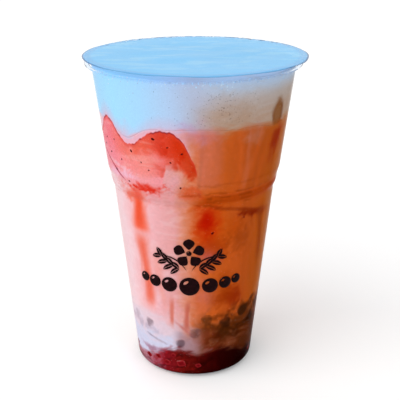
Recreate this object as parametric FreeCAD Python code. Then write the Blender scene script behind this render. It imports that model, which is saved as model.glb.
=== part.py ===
"""Sealed cup of strawberry bubble tea.

A thin clear thermoformed cup with a rolled rim is filled in three layers: fruit puree on the base,
strawberry milk tea, and milk foam on top. A clear film is heat-sealed over the rim.

Frame: millimetres, +Z up, origin on the surface the cup stands on, at the middle of its base.
The wall is a revolved profile. The layers fill its inside exactly and meet at uneven surfaces.
"""

import FreeCAD
import Part
import math
import os

Vector = FreeCAD.Vector

# ---- driving dimensions, mm ----
cup_height = 145.0
rim_radius = 47.5
rim_width = 3.1  # how far the roll stands out past the wall
rim_depth = 3.6
rim_corner = 1.2  # outer radius of the roll's corners
rim_lip = 0.9  # the roll's free edge turns in this far past its lower corner
throat_bend = 1.4  # inner radius where the wall turns out into the seal land
wall = 0.6

shoulder_foot_height = 88.0
shoulder_foot_radius = 36.2
shoulder_height = 9.0
shoulder_flare = 2.5  # its top is this much wider in radius
rib_height = 4.5  # a shallow rib runs round the lower half of the shoulder
rib_bulge = 0.35

base_radius = 27.2
base_corner = 5.0
foot_width = 1.5  # the flat ring the cup stands on
push_up_height = 2.2  # the base is raised inside that ring
push_up_run = 3.0  # its sloping edge

film_thickness = 0.1
film_overhang = 1.8  # beyond the rim, on average
film_offset = 0.8  # the film is cut this far off the cup's axis, towards +X
film_edge = 0.9  # width of the drooping edge
film_droop = 0.35

headspace = 3.0  # film to foam
foam_depth = 20.5
puree_depth = 14.5

# ---- unevenness of the layers, mm ----
foam_ripple = 0.6
foam_top_ripple = 0.35
ripple_length = 34.0  # from one crest to the next
sag_width = 8.0  # how far round the wall each sag of the foam reaches, to either side
foam_sags = [(-42, 7.0), (52, 1.5), (118, 5.0), (158, 2.5), (-142, 6.0), (-98, 3.0)]  # degrees from -Y, depth
puree_crest_spacing = 23.0  # two low crests run along Y
puree_dip_place = 2.0  # x of the dip between them
puree_swell = 1.55
puree_side_fall = 6.0  # lower towards the wall on both sides
grid_cells = 24  # spans across an uneven surface

neck_radius = rim_radius - rim_width
neck_height = cup_height - rim_depth - wall
foam_level = cup_height - headspace


def at(radius, height):
    return Vector(radius, 0, height)


def line(start, end):
    return Part.LineSegment(start, end).toShape()


def arc(start, middle, end):
    return Part.Arc(start, middle, end).toShape()


def corner(centre, radius, from_angle, to_angle):
    """A circular arc about a centre in the profile plane. Angles in degrees, 0 pointing outwards, 90 up."""

    def on_circle(degrees):
        turn = math.radians(degrees)
        return centre + at(radius * math.cos(turn), radius * math.sin(turn))

    return arc(on_circle(from_angle), on_circle((from_angle + to_angle) / 2), on_circle(to_angle))


def bulge(start, end, height):
    """A shallow arc from start to end that stands out by height from the straight line between them."""
    along = (end - start).normalize()
    outwards = Vector(along.z, 0, -along.x)
    return arc(start, (start + end) / 2 + outwards * height, end)


def shoulder_point(share):
    """A point on the shoulder's cone, from its foot at 0 to its top at 1."""
    return at(shoulder_foot_radius + shoulder_flare * share, shoulder_foot_height + shoulder_height * share)


def skin_edges(inset):
    """The cup's skin from the axis up to the neck: the outside with no inset, the inside with the wall as inset."""
    shift = Vector(-inset, 0, 0)
    lift = Vector(0, 0, inset)
    foot_outer = base_radius - base_corner
    foot_inner = foot_outer - foot_width
    points = [
        at(0, push_up_height) + lift,
        at(foot_inner - push_up_run, push_up_height) + lift,
        at(foot_inner, 0) + lift,
        at(foot_outer, 0) + lift,
        at(base_radius, base_corner) + shift,
        shoulder_point(0) + shift,
        shoulder_point(rib_height / shoulder_height) + shift,
        shoulder_point(1) + shift,
        at(neck_radius, neck_height) + shift,
    ]
    return points, [
        line(points[0], points[1]),
        line(points[1], points[2]),
        line(points[2], points[3]),
        corner(at(foot_outer, base_corner), base_corner - inset, -90, 0),
        line(points[4], points[5]),
        bulge(points[5], points[6], rib_bulge),
        line(points[6], points[7]),
        line(points[7], points[8]),
    ]


def rim_edges(outer_neck, inner_neck):
    """The rolled rim: out over the seal land, down and in to a free lip, then back the same way inside."""
    top = cup_height
    under = cup_height - rim_depth
    roll_centre = at(rim_radius - rim_corner, top - rim_corner)
    lip_centre = at(rim_radius - rim_corner, under + rim_corner)
    lip_end = lip_centre.x - rim_lip
    inner_radius = rim_corner - wall
    throat = inner_neck.x + throat_bend
    throat_centre = at(throat, top - throat_bend)
    wall_top = at(outer_neck.x, top - throat_bend)
    return [
        line(inner_neck, at(inner_neck.x, top - throat_bend)),
        corner(throat_centre, throat_bend, 180, 90),
        line(at(throat, top), at(roll_centre.x, top)),
        corner(roll_centre, rim_corner, 90, 0),
        line(at(rim_radius, roll_centre.z), at(rim_radius, lip_centre.z)),
        corner(lip_centre, rim_corner, 0, -90),
        line(at(lip_centre.x, under), at(lip_end, under)),
        line(at(lip_end, under), at(lip_end, under + wall)),
        line(at(lip_end, under + wall), at(lip_centre.x, under + wall)),
        corner(lip_centre, inner_radius, -90, 0),
        line(at(rim_radius - wall, lip_centre.z), at(rim_radius - wall, roll_centre.z)),
        corner(roll_centre, inner_radius, 0, 90),
        line(at(roll_centre.x, top - wall), at(throat, top - wall)),
        corner(throat_centre, throat_bend - wall, 90, 180),
        line(wall_top, outer_neck),
    ]


def revolve(edges):
    face = Part.Face(Part.Wire(Part.__sortEdges__(edges)))
    return face.revolve(Vector(0, 0, 0), Vector(0, 0, 1), 360)


def make_cup():
    outer_points, outer = skin_edges(0)
    inner_points, inner = skin_edges(wall)
    axis_edge = line(outer_points[0], inner_points[0])
    return revolve(outer + inner + [axis_edge] + rim_edges(outer_points[-1], inner_points[-1]))


def make_inside():
    """Everything inside the wall from the base up to where the throat bends out, for the layers to share."""
    points, inner = skin_edges(wall)
    throat_foot = at(points[-1].x, cup_height - throat_bend)
    top = at(0, throat_foot.z)
    return revolve(inner + [line(points[-1], throat_foot), line(throat_foot, top), line(top, points[0])])


def make_film():
    flat_radius = rim_radius + film_overhang - film_edge
    edge_radius = rim_radius + film_overhang
    under = [at(0, cup_height), at(flat_radius, cup_height), at(edge_radius, cup_height - film_droop)]
    over = [point + Vector(0, 0, film_thickness) for point in reversed(under)]
    outline = under + over
    edges = [line(a, b) for a, b in zip(outline, outline[1:] + outline[:1])]
    film = revolve(edges)
    film.translate(Vector(film_offset, 0, 0))
    return film


def ripple(x, y):
    """A gentle uneven swell between -1 and 1."""
    turn = 2 * math.pi / ripple_length
    crossing = math.sin(turn * x + 0.9) * math.cos(turn * 0.8 * y)
    slanting = math.sin(turn * (1.3 * y + 0.5 * x))
    return 0.6 * crossing + 0.4 * slanting


def foam_top(x, y):
    return foam_level + foam_top_ripple * ripple(1.2 * y, x)


def foam_underside(x, y):
    """Nearly level, with smooth sags against the wall where the foam has sunk into the tea."""
    height = foam_level - foam_depth + foam_ripple * ripple(x, y)
    for degrees, depth in foam_sags:
        turn = math.radians(degrees)
        away = math.hypot(x - neck_radius * math.sin(turn), y + neck_radius * math.cos(turn))
        height -= depth * math.exp(-((away / sag_width) ** 2))
    return height


def puree_top(x, y):
    """Two low crests along Y with a dip between them, falling away to both sides."""
    past_dip = x - puree_dip_place
    crests = -puree_swell * math.cos(2 * math.pi * past_dip / puree_crest_spacing)
    return puree_depth + crests - puree_side_fall * (past_dip / base_radius) ** 2


def above(height_at):
    """The space over an uneven surface, as a solid wide enough to cut the whole drink."""
    reach = rim_radius * 1.1
    steps = [reach * (2 * i / grid_cells - 1) for i in range(grid_cells + 1)]
    surface = Part.BSplineSurface()
    surface.interpolate([[Vector(x, y, height_at(x, y)) for y in steps] for x in steps])
    return surface.toShape().extrude(Vector(0, 0, 2 * cup_height))


def make_layers():
    inside = make_inside()
    over_foam = above(foam_top)
    over_milk = above(foam_underside)
    over_puree = above(puree_top)
    return {
        "foam": inside.common(over_milk).cut(over_foam),
        "milk_tea": inside.common(over_puree).cut(over_milk),
        "fruit_puree": inside.cut(over_puree),
    }


def main():
    os.makedirs("parts", exist_ok=True)
    nodes = {"cup": make_cup(), "sealing_film": make_film(), **make_layers()}
    for name, shape in nodes.items():
        print(name, len(shape.Solids), "solid", round(shape.Volume / 1000, 2), "ml, valid:", shape.isValid())
        shape.Solids[0].exportStep(f"parts/{name}.step")


main()
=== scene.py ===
# %% [markdown]
# # A sealed cup of strawberry bubble tea
# A thin clear thermoformed cup holds dark fruit puree, pink milk tea and a cap of milk foam, and is closed
# with a clear film welded to the rim. Almost everything that catches the eye is inside the wall: puree that
# ran down it, marbling where tea meets fruit, pearls half lost in the milk. So each filling is its own
# body, and the colours of the inside of the wall are worked out once, as fields over the angle round it and
# the height.

import bmesh
import bpy
import math
import numpy as np
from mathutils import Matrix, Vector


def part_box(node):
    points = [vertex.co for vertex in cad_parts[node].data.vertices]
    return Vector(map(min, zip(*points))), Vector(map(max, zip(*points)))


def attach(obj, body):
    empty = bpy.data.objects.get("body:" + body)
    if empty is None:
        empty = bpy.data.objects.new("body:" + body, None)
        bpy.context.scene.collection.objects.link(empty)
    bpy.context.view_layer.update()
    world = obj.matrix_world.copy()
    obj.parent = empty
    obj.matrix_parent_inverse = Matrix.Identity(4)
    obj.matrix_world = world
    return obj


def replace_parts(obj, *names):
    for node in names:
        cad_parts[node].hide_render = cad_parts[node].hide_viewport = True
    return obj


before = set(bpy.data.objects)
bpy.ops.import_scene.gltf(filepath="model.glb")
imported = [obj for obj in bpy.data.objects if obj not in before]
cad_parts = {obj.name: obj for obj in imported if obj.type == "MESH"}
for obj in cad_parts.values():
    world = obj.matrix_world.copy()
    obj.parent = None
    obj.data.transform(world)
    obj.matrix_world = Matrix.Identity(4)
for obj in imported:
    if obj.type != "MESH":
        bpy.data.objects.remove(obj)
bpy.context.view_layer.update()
MM = 0.001

# %% [markdown]
# ## Sizes
# Height and rim come from the frame. The rest are drawing sizes in millimetres: a tapered wall with one
# shoulder, a rounded foot, and a base that is pushed up so that the cup stands on a ring.

# %% Sizes, in millimetres
rim_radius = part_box("cup")[1].x / MM
cup_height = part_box("cup")[1].z / MM
film_low, film_high = (np.array(corner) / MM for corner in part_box("sealing_film"))
WALL = 0.6
RIM_WIDTH, RIM_DEPTH, RIM_CORNER, RIM_LIP, THROAT = 3.1, 3.6, 1.2, 0.9, 1.4
NECK_RADIUS = rim_radius - RIM_WIDTH
NECK_HEIGHT = cup_height - (RIM_DEPTH + WALL)
SHOULDER_TOP, SHOULDER_RIB, SHOULDER_FOOT = (38.7, 97.0), (37.45, 92.5), (36.2, 88.0)
RIB_BULGE, RIB_OUTWARDS = 0.35, np.array([0.96, -0.27])
BASE_RADIUS, BASE_CORNER = 27.2, 5.0
FOOT_RING = (20.7, 22.2)
PUSH_UP = (17.7, 2.2)
FOAM_LEVEL = cup_height - 3.0
FOAM_DEPTH, PUREE_DEPTH = 20.5, 14.5
RIPPLE_LENGTH = 34.0  # of the swell in the foam, from crest to crest
INTO_WALL = 0.34  # a filling reaches this far into the wall: no air shows, and colour carries out to the edge
print("rim radius", round(rim_radius, 2), "height", round(cup_height, 2))

# %% [markdown]
# ## Making meshes
# A surface is a grid of points, one row per step along a profile and one column per step round it. A row that
# has shrunk to a point is merged into one vertex, which closes the skin. A piece may be one grid or a heap of
# many small ones, and every point can carry a colour.


# %% Helpers for meshes
def make_piece(name, points, faces, material, shades=None):
    """A mesh object from points in millimetres and quads, with an optional colour for each point."""
    mesh = bpy.data.meshes.new(name)
    mesh.from_pydata((points * MM).tolist(), [], faces.tolist())
    if shades is not None:
        layer = mesh.color_attributes.new("shade", "FLOAT_COLOR", "POINT")
        rgba = np.ones((len(points), 4), np.float32)
        rgba[:, :3] = shades
        layer.data.foreach_set("color", rgba.ravel())
    build = bmesh.new()
    build.from_mesh(mesh)
    bmesh.ops.remove_doubles(build, verts=build.verts, dist=0.0005 * MM)
    build.to_mesh(mesh)
    build.free()
    mesh.polygons.foreach_set("use_smooth", np.ones(len(mesh.polygons), bool))
    mesh.materials.append(material)
    piece = bpy.data.objects.new(name, mesh)
    bpy.context.collection.objects.link(piece)
    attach(piece, "root")
    print(f"{name}: {sum(len(polygon.vertices) - 2 for polygon in mesh.polygons)} triangles")
    return piece


class Heap:
    """One or many grids of points, gathered for one mesh."""

    def __init__(self):
        self.points, self.faces, self.shades, self.count = [], [], [], 0

    def put(self, grid, shades=None, around=True, flip=False):
        """Add a grid of points, rows by columns. flip turns its faces over."""
        rows, columns = grid.shape[:2]
        faces = grid_faces(rows, columns, around)
        self.faces.append((faces[:, ::-1] if flip else faces) + self.count)
        self.points.append(grid.reshape(-1, 3))
        shades = np.zeros(3) if shades is None else shades
        self.shades.append(np.broadcast_to(shades, grid.shape).reshape(-1, 3))
        self.count += rows * columns

    def make(self, name, material):
        points, faces, shades = (np.concatenate(part) for part in (self.points, self.faces, self.shades))
        return make_piece(name, points, faces, material, shades)


def grid_faces(rows, columns, around=True):
    """The quads of a grid of points stored row by row. around joins the last column to the first."""
    row, column = np.meshgrid(np.arange(rows - 1), np.arange(columns - (not around)), indexing="ij")
    here, beside = row * columns + column, row * columns + (column + 1) % columns
    return np.stack([here, beside, beside + columns, here + columns], -1).reshape(-1, 4)


def on_cup(radius, degrees, height):
    """The point at this radius and height, turned from the front of the cup (-Y) towards its right (+X)."""
    turn = np.radians(degrees)
    return np.stack(np.broadcast_arrays(radius * np.sin(turn), -radius * np.cos(turn), height), -1)


def arc(centre, radius, start, end, steps):
    """Points of a circular arc in the profile plane, from start to end degrees, 0 outwards and 90 up."""
    turn = np.radians(np.linspace(start, end, steps))
    return np.stack([centre[0] + radius * np.cos(turn), centre[1] + radius * np.sin(turn)], 1)


def run(start, end, steps):
    """Evenly spaced points from start towards end, without the last one."""
    share = np.linspace(0, 1, steps, endpoint=False)[:, None]
    return np.array(start) + (np.array(end) - np.array(start)) * share


# %% [markdown]
# ## The cup's profile
# The wall is one skin of even thickness. The same path, moved inwards, gives the inside, and the fillings
# take their radius from it at each height. The shoulder's lower half is a shallow rib, whose edges are the
# fine rings that catch the light.


# %% Profile of the wall
def skin(inset):
    """The wall's path from the axis to the neck: base, foot ring, round foot, taper, shoulder, taper."""
    side, up = np.array([-inset, 0]), np.array([0, inset])
    foot = np.array([BASE_RADIUS, BASE_CORNER]) + side
    rib_foot, rib_top = np.array(SHOULDER_FOOT) + side, np.array(SHOULDER_RIB) + side
    share = np.linspace(0, 1, 12, endpoint=False)[:, None]
    rib = rib_foot + (rib_top - rib_foot) * share + RIB_OUTWARDS * (RIB_BULGE * 4 * share * (1 - share))
    return np.concatenate(
        [
            run((0, PUSH_UP[1] + inset), (PUSH_UP[0], PUSH_UP[1] + inset), 8),
            run(np.array(PUSH_UP) + up, (FOOT_RING[0], inset), 6),
            run((FOOT_RING[0], inset), (FOOT_RING[1], inset), 3),
            arc((FOOT_RING[1], BASE_CORNER), BASE_CORNER - inset, -90, 0, 14)[:-1],
            run(foot, rib_foot, 50),
            rib,
            run(rib_top, np.array(SHOULDER_TOP) + side, 8),
            run(np.array(SHOULDER_TOP) + side, (NECK_RADIUS - inset, NECK_HEIGHT), 30),
        ]
    )


def rim():
    """The roll: up the throat, out over the flat land, down, in to the free lip, and the same way back."""
    top, under = cup_height, cup_height - RIM_DEPTH
    throat = (NECK_RADIUS - WALL + THROAT, top - THROAT)
    roll, lip = (rim_radius - RIM_CORNER, top - RIM_CORNER), (rim_radius - RIM_CORNER, under + RIM_CORNER)
    inner = RIM_CORNER - WALL
    return np.concatenate(
        [
            run((NECK_RADIUS, NECK_HEIGHT), (NECK_RADIUS, throat[1]), 3),
            arc(throat, THROAT - WALL, 180, 90, 6),
            arc(roll, inner, 90, 0, 6),
            arc(lip, inner, 0, -90, 6),
            [(lip[0] - RIM_LIP, under + WALL), (lip[0] - RIM_LIP, under)],
            arc(lip, RIM_CORNER, -90, 0, 8),
            arc(roll, RIM_CORNER, 0, 90, 8),
            arc(throat, THROAT, 90, 180, 8),
        ]
    )


outside, inside = skin(0), skin(WALL)
inside_side = inside[inside[:, 1].argmin() :]
print("profile points:", len(outside), "outside,", len(rim()), "rim,", len(inside), "inside")


def wall_radius(height, into_wall=0.0):
    """The radius of the inside of the wall at a height, or a little deeper in the plastic."""
    neck = np.array([(NECK_RADIUS - WALL, cup_height)])
    path = np.concatenate([inside_side[np.r_[True, np.diff(inside_side[:, 1]) > 1e-6]], neck])
    return np.interp(height, path[:, 1], path[:, 0]) + into_wall


def outer_radius(height):
    """The radius of the outside of the wall at a height, for what is printed on it."""
    return wall_radius(height) + WALL


# %% [markdown]
# ## Where the layers meet
# Foam floats on the tea and sags into it in places, and the puree lies in low crests. These are the same
# gentle surfaces as in the frame's solids: a height for each place across the cup.


# %% Surfaces between the layers
def ripple(x, y):
    """A gentle swell between -1 and 1: two crossing waves."""
    turn = 2 * np.pi / RIPPLE_LENGTH
    return 0.6 * np.sin(turn * x + 0.9) * np.cos(turn * 0.8 * y) + 0.4 * np.sin(turn * (1.3 * y + 0.5 * x))


def foam_top(x, y):
    return FOAM_LEVEL + 0.35 * ripple(1.2 * y, x)


def foam_foot(x, y):
    """Level at the foam's depth, less a round sag at each place where it sank against the wall."""
    height = FOAM_LEVEL - FOAM_DEPTH + 0.6 * ripple(x, y)
    for degrees, depth in [(-42, 7.0), (52, 1.5), (118, 5.0), (158, 2.5), (-142, 6.0), (-98, 3.0)]:
        place = on_cup(NECK_RADIUS, degrees, 0)
        height = height - depth * np.exp(-((x - place[0]) ** 2 + (y - place[1]) ** 2) / 8.0**2)
    return height


def puree_top(x, y):
    """Two crests 23 mm apart with a dip between them, falling away to both sides as a parabola."""
    past_dip = x - 2.0
    return PUREE_DEPTH - 1.55 * np.cos(2 * np.pi * past_dip / 23.0) - 6.0 * (past_dip / BASE_RADIUS) ** 2


def base_inside(x, y):
    """The inside of the pushed-up base."""
    flat_part = inside[: len(inside) - len(inside_side) + 3]
    return np.interp(np.hypot(x, y), flat_part[:, 0], flat_part[:, 1])


def meeting_height(surface, degrees, first):
    """Where a surface meets the wall: a height, used five times over to look up the wall's radius there."""
    height = np.full_like(degrees, first, dtype=float)
    for _ in range(5):
        x, y, _z = np.moveaxis(on_cup(wall_radius(height), degrees, 0), -1, 0)
        height = surface(x, y)
    return height


# %% [markdown]
# ## Irregularity
# Milk and fruit mix in wisps of many sizes. A sum of sine waves in random directions through space is a
# smooth field that never repeats and closes round the wall without a seam. Bending the space first by
# another such field turns round blots into streaky marbling.


# %% Wisps through space
def waves(points, length, seed, octaves=3):
    """About -1 to 1: octaves of eight plane waves in random directions, each half as long and high."""
    random = np.random.default_rng(seed)
    total = np.zeros(points.shape[:-1])
    for octave in range(octaves):
        for _ in range(8):
            direction = random.normal(size=3)
            direction /= np.linalg.norm(direction)
            size = length / 2**octave * random.uniform(0.8, 1.25)
            phase = random.uniform(0, 2 * np.pi)
            total += np.sin(2 * np.pi * (points @ direction) / size + phase) / 2**octave
    return total / 4.0


def marbling(points, length, seed, stretch=(1, 1, 1), bend=0.5):
    """Waves read at places that another field has pushed aside, stretched along the axes."""
    scaled = points / np.array(stretch)
    push = np.stack([waves(scaled, length * 2, seed + k, 2) for k in (1, 2, 3)], -1)
    return waves(scaled + push * length * bend, length, seed)


# %% [markdown]
# ## Colours
# Colours are written as sRGB hex, and one function turns them to the linear values that the renderer needs.


# %% Colour helpers
def srgb(code):
    return np.array([int(code[place : place + 2], 16) for place in (1, 3, 5)]) / 255


def to_linear(colour):
    colour = np.clip(np.asarray(colour, float), 0, 1)
    return np.where(colour <= 0.04045, colour / 12.92, ((colour + 0.055) / 1.055) ** 2.4)


def smooth(value, low, high):
    """0 below low, 1 above high, and an S-curve between. With low above high it runs the other way."""
    share = np.clip((value - low) / (high - low), 0, 1)
    return share * share * (3 - 2 * share)


def stops(value, places):
    """A colour read off a list of (place, hex) stops, blended in between."""
    table = np.array([srgb(code) for _, code in places])
    at = [place for place, _ in places]
    return np.stack([np.interp(value, at, table[:, channel]) for channel in range(3)], -1)


def cover(under, over, share):
    """Lay one colour over another, share being how much of it shows. The upper one may be given as hex."""
    over = srgb(over) if isinstance(over, str) else over
    return under + (over - under) * np.asarray(share)[..., None]


def apart(degrees, other):
    """Signed angle between two directions round the cup, from -180 to 180."""
    return (degrees - other + 180) % 360 - 180


# %% [markdown]
# ## Painting the inside of the wall
# Seen through the wall, the drink is a few broad fields with marks on them. On one side the milk has stayed
# pale and pink, on the other the tea shows orange-brown; on the front this split is partly painted light,
# cool light on the left and warm shade on the right. Marks are of two kinds: an uneven oval blot, and a trail
# of syrup that slid down the wall. A mark is its colour, how much of it shows, its place in degrees round the
# cup and millimetres up it, and its half sizes.


# %% The two kinds of mark
class Wall:
    """The points to be painted: their angle, height and place, and fields of wisps that marks share."""

    def __init__(self, degrees, height):
        self.degrees, self.height = np.broadcast_arrays(np.asarray(degrees, float), np.asarray(height, float))
        self.side = apart(self.degrees, 0)
        points = on_cup(wall_radius(self.height), self.degrees, self.height)
        self.wisps = marbling(points, 9.0, 11)
        self.fine = marbling(points, 3.2, 21)
        self.flat = marbling(points, 16.0, 31, stretch=(1, 1, 0.3))
        self.upright = marbling(points, 8.0, 41, stretch=(1, 1, 4.0))

    def within(self, middle, outer, inner, wisps=0):
        """1 within inner degrees of a middle and 0 beyond outer, the border pushed about by wisps."""
        return smooth(np.abs(apart(self.degrees + wisps * self.wisps, middle)), outer, inner)

    def blot(self, degrees, height, wide, high, lean=0.0, edge=1.0, rough=0.25):
        """Share of cover by an oval. wide and high are half sizes in degrees and mm, lean tips it up to the
        right in mm per degree, edge is how much of it is soft, and rough how far wisps push its outline."""
        across = apart(self.degrees, degrees) / wide
        up = (self.height - height - lean * apart(self.degrees, degrees)) / high
        distance = np.hypot(across, up) + rough * self.wisps + 0.5 * rough * self.fine
        return smooth(distance, 1 + edge / 2, 1 - edge)

    def trail(self, degrees, top, bottom, wide, sway=2.0, soft=4.0, edge=1.0):
        """Share of cover by a trail. wide is its half width in degrees, sway how far it wanders, and soft the
        length in mm over which it starts and ends."""
        middle = degrees + sway * np.sin(self.height / 9.0 + degrees)
        swell = wide * (1 + 0.2 * np.sin(self.height / 5.0 + 2 * degrees)) + 1.2 * self.upright
        distance = np.abs(apart(self.degrees, middle)) / np.maximum(swell, 0.5)
        above = smooth(self.height, bottom - soft / 2, bottom + soft / 2)
        below = smooth(self.height, top + soft / 2, top - soft / 2)
        return smooth(distance, 1 + edge / 2, 1 - edge) * (above * below)

    def mark(self, colour, marks):
        """Lay marks over a colour, in their order."""
        for kind, code, share, sizes, form in marks:
            colour = cover(colour, code, share * kind(self, *sizes, **form))
        return colour


def blot(code, share, *sizes, **form):
    return Wall.blot, code, share, sizes, form


def trail(code, share, *sizes, **form):
    return Wall.trail, code, share, sizes, form


# %% [markdown]
# ### The puree clinging under the foam
# A spoonful of puree was smeared on the upper wall before the milk went in. It has a sharp, darker upper
# edge against the foam, with tongues and dips, and thins out below. That edge is a curve through a few
# places, which both the painting and the smear's own mesh use.

# %% The smear's upper edge
SMEAR_EDGE = [
    (-98, 103), (-88, 111), (-78, 114), (-71, 117.2), (-66, 121.2), (-61, 122.8), (-56, 121.6), (-51, 117.6),
    (-46, 114.2), (-41, 113.2), (-36, 114.4), (-30, 117.6), (-24, 120), (-17, 120.8), (-11, 119.9),
    (-6.5, 117), (-3.5, 113.2), (-1, 109.4), (1.2, 105.6), (2.4, 101.5), (3.2, 96),
]
BACK_SMEAR_EDGE = [
    (128, 95), (134, 107), (144, 118), (156, 120.5), (166, 115.5), (177, 120.8), (188, 117), (197, 108),
    (204, 94),
]
SMEAR_FOOT = [(-100, 95.5), (-20, 95.5), (-16.5, 106), (-8.5, 106), (-6, 102.5), (-2, 101), (4, 101)]


def curve(value, places):
    """A smooth curve through places, in cubics whose slope at a place is that between its neighbours."""
    at, height = np.array(places, float).T
    slope = np.gradient(height, at)
    spot = np.clip(np.searchsorted(at, value, side="right") - 1, 0, len(at) - 2)
    long = at[spot + 1] - at[spot]
    share = np.clip((value - at[spot]) / long, 0, 1)
    rise = share * share * (3 - 2 * share)
    bend = slope[spot] * share * (1 - share) ** 2 - slope[spot + 1] * share * share * (1 - share)
    return height[spot] + (height[spot + 1] - height[spot]) * rise + long * bend


def smear_top(degrees, places):
    return curve(degrees, places) + 0.2 * np.sin(degrees * 0.9) + 0.12 * np.sin(degrees * 2.3 + 1)


# %% [markdown]
# ### Tea, foam and puree
# The fields are laid as a painter would: first the tea's tone round the cup, partly painted light, then the
# paler and darker clouds and the trails, then the foam above with the smear over it, and last the puree
# below.


# %% Field: the tea
# Round the back the tea is pale and orange in turn. On the front the pale pink left and orange-brown right
# are partly painted light: cool light on the left, warm shade on the right.
TEA_TONE_AND_LIGHT_ROUND = [
    (-180, "#E89A8C"), (-150, "#D27A58"), (-120, "#E8A294"), (-90, "#F4CFCC"), (-62, "#FAD2D4"),
    (-48, "#FBC6C6"), (-30, "#F6B4B6"), (-14, "#ECA29E"), (-4, "#E28868"), (4, "#DC6C3C"), (14, "#D86224"),
    (30, "#D05A1E"),
    (44, "#C6561C"), (60, "#C05814"), (74, "#C4743C"), (90, "#C8865A"), (120, "#E0957C"), (150, "#F2B4AC"),
    (180, "#E89A8C"),
]


def tea(wall):
    """The tea's tone round the cup, on the front partly painted light, with level bands, upright clouds and a
    pink strip.
    """
    colour = stops(apart(wall.degrees + 2.0 * wall.wisps, 0), TEA_TONE_AND_LIGHT_ROUND)
    milky = wall.within(-50, 60, 30)
    colour = cover(colour, "#FCE4E6", 0.2 * milky * smooth(wall.flat, 0.0, 0.9))
    colour = cover(colour, "#D47C80", 0.3 * wall.within(10, 11, 4) * smooth(wall.height, 94, 98))
    return colour * (1 + 0.025 * wall.upright * (1 - milky))[..., None]


# %% Field: clouds of milk and dark fruit in the lower third
MURK = [(14, 26, 9, 3), (28, 26, 10, 4), (46, 29, 12, 6), (62, 27, 12, 7), (36, 21, 14, 4), (68, 16, 14, 5)]
MURK_MARKS = [blot("#3E1C06", 0.5, *place, edge=1.1, rough=0.5) for place in MURK] + [
    blot("#8A7484", 0.6, -39, 18.6, 12, 0.5, lean=-0.12, edge=0.8, rough=0.3),
]
LOWEST_MARKS = [
    blot("#8C3220", 0.6, 14, 15, 9, 6, rough=0.5),
    blot("#94402A", 0.6, 14, 24, 6, 3, rough=0.5),
    blot("#964C30", 0.7, 34, 17, 8, 3, rough=0.5),
    blot("#96566A", 0.6, -44, 12, 12, 1.3, rough=0.5),
    blot("#A88288", 0.6, -1, 15, 13, 3.0, lean=0.05, rough=0.5),
]


def lower_clouds(wall, colour):
    """Pale lilac milk low on the milky side, brown murk with fruit low on the other."""
    milky = wall.within(-46, 52, 26, wisps=4)
    colour = cover(colour, "#E6D2DC", 0.8 * milky * smooth(wall.height + 3 * wall.flat, 36, 27))
    lowest = smooth(wall.height + 2.5 * wall.flat + 2 * wall.wisps, 26, 15)
    colour = cover(colour, "#D6D4E8", 0.95 * milky * lowest)
    streak = wall.blot(-62, 24, 22, 1.6, lean=-0.04, edge=0.9, rough=0.6)
    colour = cover(colour, "#9C8294", 0.3 * milky * streak)
    murky = wall.within(54, 60, 40, wisps=4)
    level = wall.height + 3.0 * wall.wisps - 3 * smooth(wall.side, 34, 50)
    dark = murky * smooth(level, 35, 28)
    colour = cover(colour, "#78340E", 0.8 * dark)
    colour = cover(colour, "#5A2208", 0.8 * murky * smooth(level, 30, 19))
    colour = cover(colour, "#A0604A", 0.45 * dark * smooth(wall.wisps + 0.8 * wall.flat, 0.0, 1.3))
    colour = wall.mark(colour, MURK_MARKS)
    middle = wall.within(-4, 17, 5) * smooth(wall.height + 2.5 * wall.wisps, 31, 20)
    return wall.mark(cover(colour, "#A4787C", 0.75 * middle), LOWEST_MARKS)


# %% Marks: trails and blots of syrup, on the front and, of the same kinds, round the back
SYRUP = [
    trail("#FAB0B0", 0.6, -42, 94, 34, 12, soft=8),
    trail("#FA6446", 1.0, -41, 93, 73, 6.8, sway=1.2, edge=0.9),
    blot("#F46040", 0.9, -43, 90, 10, 4.5, edge=0.9, rough=0.4),
    trail("#F04A28", 0.5, -41, 92, 76, 3.6, soft=6, edge=1.1),
    trail("#F26A50", 0.9, -41, 70, 37, 5.6, sway=1.6, soft=9),
    trail("#F0886E", 0.35, -27, 66, 38, 5.0, sway=2.5, soft=12, edge=1.2),
    blot("#D4540E", 0.85, 13, 77, 17, 17),
    blot("#C86488", 0.5, 12, 63, 8, 6),
    blot("#C8748C", 0.35, 10, 44, 11, 7),
    blot("#C24604", 0.5, 31, 75, 8, 6),
    blot("#CC2A02", 0.95, 9.5, 79, 9.5, 9.5, rough=0.18),
    blot("#BE1200", 0.8, 8.8, 80.5, 5.6, 5.6, rough=0.15),
    blot("#B23604", 0.6, 16, 68, 9, 5, edge=0.9),
    blot("#8A2406", 0.95, 47, 81, 19, 2.0, lean=-0.07, edge=0.8, rough=0.4),
    blot("#98340A", 0.8, 38, 83.4, 28, 1.1, lean=-0.13, edge=0.8, rough=0.3),
    trail("#94380C", 0.6, 58, 82, 56, 3.2, sway=3, soft=8),
    blot("#A04010", 0.5, 36, 70, 9, 6, rough=0.6),
    blot("#9A2806", 0.9, 32, 41, 11, 5.0, edge=0.9),
    blot("#AA3C04", 0.6, 25, 44, 12, 9),
    trail("#DC7460", 0.85, -17.5, 41, 28, 2.8, sway=1.6, soft=6, edge=0.9),
    trail("#CC6450", 0.9, -4.5, 40, 26, 2.6, sway=1.8, soft=6, edge=0.9),
    blot("#C86A60", 0.7, -9, 26.5, 10, 1.2, lean=-0.45, edge=0.9),
]
BACK_TRAILS = [
    (106, 94, 52, 7), (139, 93, 64, 9), (143, 60, 38, 5), (172, 95, 34, 6), (-163, 92, 66, 10),
    (-124, 94, 48, 7), (-90, 60, 38, 5),
]
for degrees, top, bottom, wide in BACK_TRAILS:
    SYRUP += [
        trail("#F4A890", 0.5, degrees, top + 1, bottom - 3, 1.7 * wide, soft=12, edge=1.2),
        trail("#EE6A4A", 0.75, degrees, top, bottom, 0.8 * wide, sway=1.5, soft=9, edge=1.1),
    ]
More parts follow.
